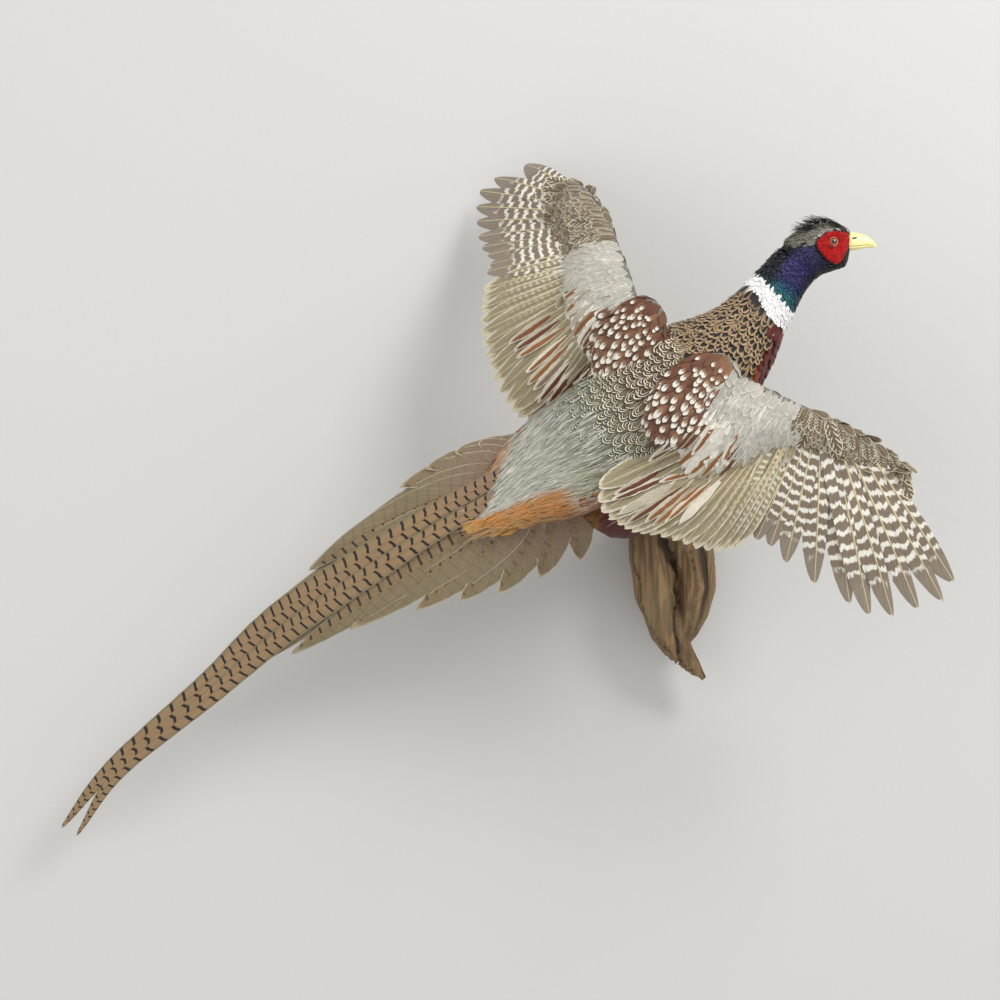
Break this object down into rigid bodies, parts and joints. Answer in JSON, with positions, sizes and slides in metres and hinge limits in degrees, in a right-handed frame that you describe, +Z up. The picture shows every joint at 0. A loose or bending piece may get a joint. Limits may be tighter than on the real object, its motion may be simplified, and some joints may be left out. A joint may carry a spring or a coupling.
{
  "type": "taxidermy pheasant",
  "caption": "Life-size cock pheasant mounted in flight on a driftwood branch with a flat back that hangs on a wall.",
  "frame": {"origin": "a point on the flat back of the driftwood, in the plane of the wall", "axes": "+Y into the wall along the outward normal of the driftwood's flat back, +Z up, +X to the right as one faces the wall, the way the bird's bill points"},
  "size_m": [0.8846, 0.3315, 0.6999],
  "materials": {
    "barred_plumage": "soft overlapping body feathers, buff and gold with black and cream scalloped edges",
    "rump_plumage": "long hair-like powder blue-grey feathers",
    "neck_plumage": "glossy black feathers with blue, purple and green sheen over a white collar",
    "scapular_plumage": "chestnut feathers with cream teardrop centres",
    "wing_coverts": "pale lavender-grey small wing feathers, barred brown on the hand",
    "flight_feathers": "grey-taupe vanes with irregular cream bars and cream shafts",
    "tail_feathers": "olive-tan vanes with narrow black bars",
    "wattle": "bare granular red skin",
    "bill": "pale yellow horn, satin",
    "eye": "polished taxidermy eye, brown iris with a black pupil",
    "leg_scales": "grey horn scales and claws",
    "driftwood": "weathered fluted driftwood, dark in the cracks"
  },
  "bodies": {
    "root": {"bill_lower": "bill", "bill_upper": "bill", "crest": "neck_plumage", "driftwood": "driftwood", "ear_tuft_left": "neck_plumage", "ear_tuft_right": "neck_plumage", "eye_left": "eye", "eye_right": "eye", "foot_left": "leg_scales", "foot_right": "leg_scales", "head": "neck_plumage", "neck": "neck_plumage", "rump": "rump_plumage", "shank_left": "leg_scales", "shank_right": "leg_scales", "tail_centre_left": "tail_feathers", "tail_centre_right": "tail_feathers", "tail_side_left": "tail_feathers", "tail_side_right": "tail_feathers", "thigh_left": "barred_plumage", "thigh_right": "barred_plumage", "trunk": "barred_plumage", "wattle_left": "wattle", "wattle_right": "wattle", "wing_left_arm": "wing_coverts", "wing_left_hand": "wing_coverts", "wing_left_primaries": "flight_feathers", "wing_left_scapulars": "scapular_plumage", "wing_left_secondaries": "flight_feathers", "wing_right_arm": "wing_coverts", "wing_right_hand": "wing_coverts", "wing_right_primaries": "flight_feathers", "wing_right_scapulars": "scapular_plumage", "wing_right_secondaries": "flight_feathers"}
  },
  "joints": []
}
